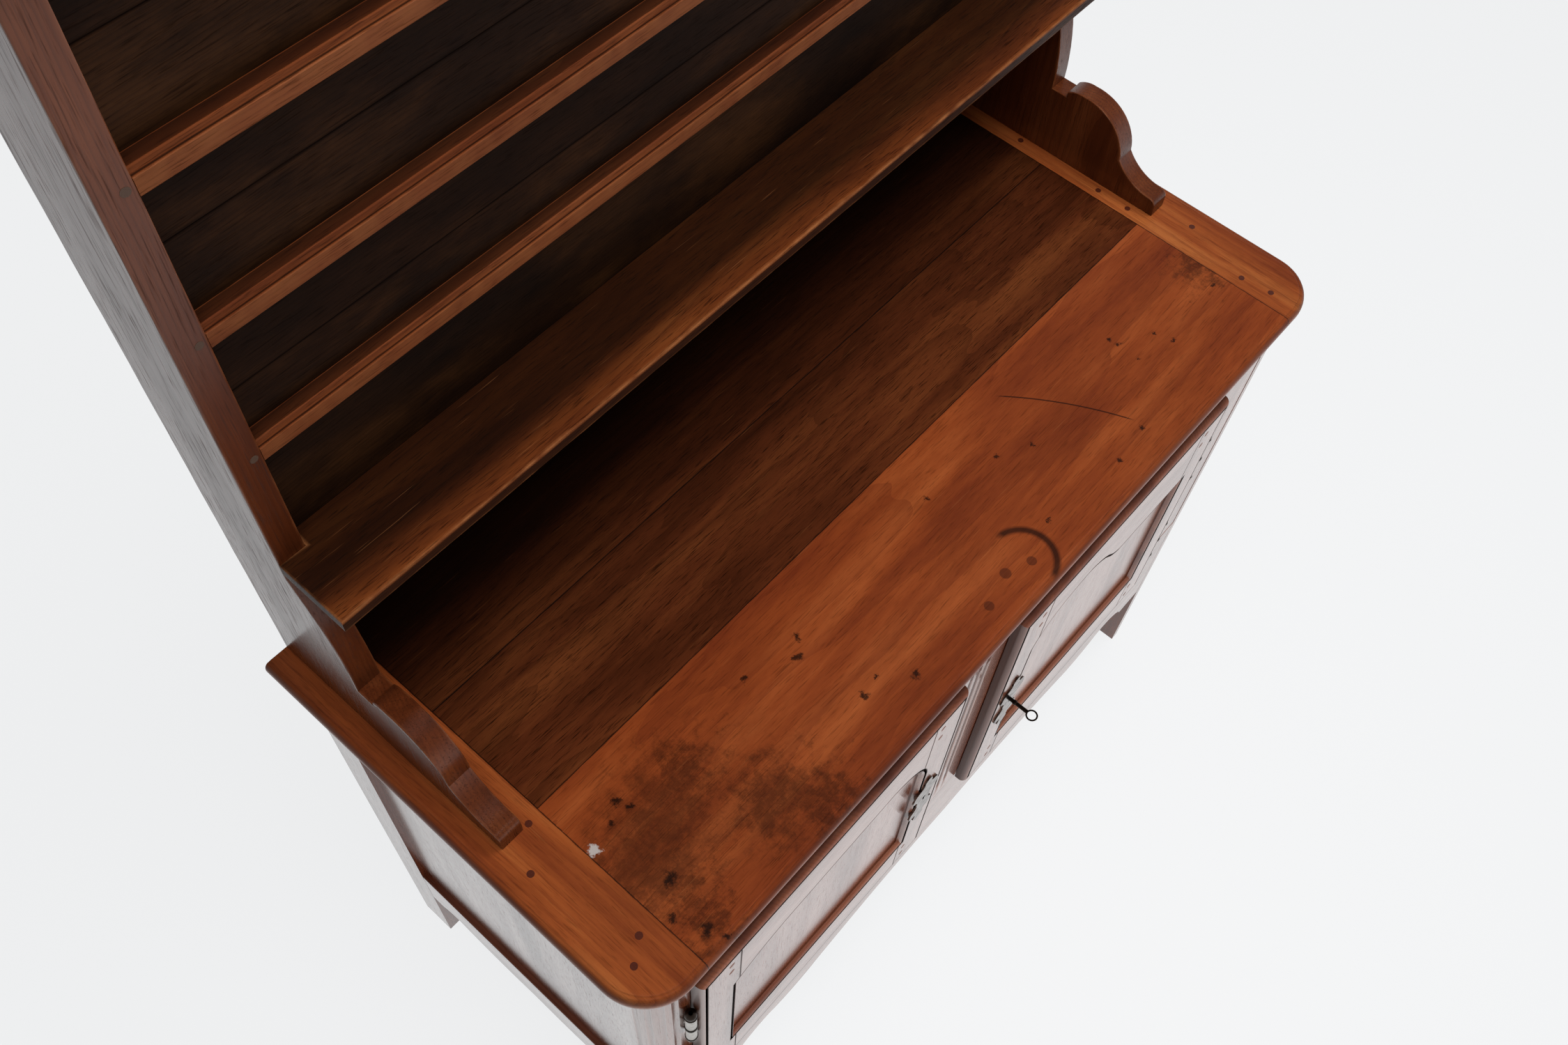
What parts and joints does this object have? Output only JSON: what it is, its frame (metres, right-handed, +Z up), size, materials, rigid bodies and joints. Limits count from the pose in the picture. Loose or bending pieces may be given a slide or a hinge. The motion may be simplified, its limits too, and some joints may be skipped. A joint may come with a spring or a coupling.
{
  "type": "welsh dresser",
  "caption": "Old oak dresser: two-door cupboard base with moulded worktop and an open plate rack on scroll brackets.",
  "frame": {"origin": "centre of the bounding box, on the floor", "axes": "+Z up, doors face -Y, +X to the right seen from the front"},
  "size_m": [1.317, 0.645, 2.006],
  "materials": {
    "waxed_oak": "waxed, worn at the edges",
    "worktop_oak": "waxed and polished by use",
    "dark_worktop_oak": "waxed, dark with age",
    "inner_boards": "dry, dark with age",
    "dark_oak_pegs": "end grain, waxed",
    "black_iron": "black, oiled",
    "bright_steel": "worn bright",
    "lock_steel": "dull, oiled"
  },
  "bodies": {
    "case": {"back_bottom_rail": "waxed_oak", "back_left_post": "waxed_oak", "back_right_post": "waxed_oak", "back_top_rail": "waxed_oak", "base_back_boards": "inner_boards", "centre_post": "waxed_oak", "cornice": "waxed_oak", "cupboard_floor": "inner_boards", "front_bottom_rail": "waxed_oak", "front_left_post": "waxed_oak", "front_right_post": "waxed_oak", "front_top_rail": "waxed_oak", "high_plate_shelf": "waxed_oak", "inner_shelf": "inner_boards", "left_breadboard_end": "worktop_oak", "left_hinge_pins": "bright_steel", "left_side_bottom_rail": "waxed_oak", "left_side_panel": "waxed_oak", "left_side_top_rail": "waxed_oak", "left_upright": "waxed_oak", "low_plate_shelf": "waxed_oak", "middle_plate_shelf": "waxed_oak", "narrow_panel": "waxed_oak", "rack_back_boards": "inner_boards", "right_breadboard_end": "worktop_oak", "right_hinge_pins": "bright_steel", "right_hinge_stile": "waxed_oak", "right_side_bottom_rail": "waxed_oak", "right_side_panel": "waxed_oak", "right_side_top_rail": "waxed_oak", "right_upright": "waxed_oak", "serving_shelf": "waxed_oak", "shelf_bearers": "inner_boards", "shelf_pegs": "dark_oak_pegs", "top_board": "waxed_oak", "worktop_back_board": "dark_worktop_oak", "worktop_front_board": "worktop_oak", "worktop_middle_board": "dark_worktop_oak", "worktop_pegs": "dark_oak_pegs"},
    "left_door": {"left_door_bottom_rail": "waxed_oak", "left_door_hinge_stile": "waxed_oak", "left_door_lock_plate": "black_iron", "left_door_lock_stile": "waxed_oak", "left_door_panel": "waxed_oak", "left_door_pegs": "dark_oak_pegs", "left_door_top_rail": "waxed_oak", "left_hinge_knuckles": "bright_steel", "left_lock_case": "lock_steel"},
    "right_door": {"right_door_bottom_rail": "waxed_oak", "right_door_hinge_stile": "waxed_oak", "right_door_lock_plate": "black_iron", "right_door_lock_stile": "waxed_oak", "right_door_panel": "waxed_oak", "right_door_pegs": "dark_oak_pegs", "right_door_top_rail": "waxed_oak", "right_hinge_knuckles": "bright_steel", "right_lock_case": "lock_steel"},
    "key": {"key": "black_iron"},
    "left_bolt": {"left_lock_bolt": "lock_steel"},
    "right_bolt": {"right_lock_bolt": "lock_steel"}
  },
  "joints": [
    {"name": "left_door_swing", "type": "hinge", "parent": "case", "child": "left_door", "pos_m": [-0.5946, -0.2648, 0.671], "axis": [0, 0, -1], "range_deg": [0, 120]},
    {"name": "right_door_swing", "type": "hinge", "parent": "case", "child": "right_door", "pos_m": [0.4504, -0.2648, 0.671], "axis": [0, 0, 1], "range_deg": [0, 120]},
    {"name": "key_turn", "type": "hinge", "parent": "right_door", "child": "key", "pos_m": [0.0221, -0.2745, 0.662], "axis": [0, -1, 0], "range_deg": [0, 180]},
    {"name": "right_bolt_slide", "type": "slide", "parent": "right_door", "child": "right_bolt", "axis": [-1, 0, 0], "range_m": [0, 0.014]},
    {"name": "left_bolt_slide", "type": "slide", "parent": "left_door", "child": "left_bolt", "axis": [1, 0, 0], "range_m": [0, 0.014]}
  ],
  "couplings": [
    {"joint": "key_turn", "follows": "right_bolt_slide", "rad_per_m": 224.4}
  ]
}
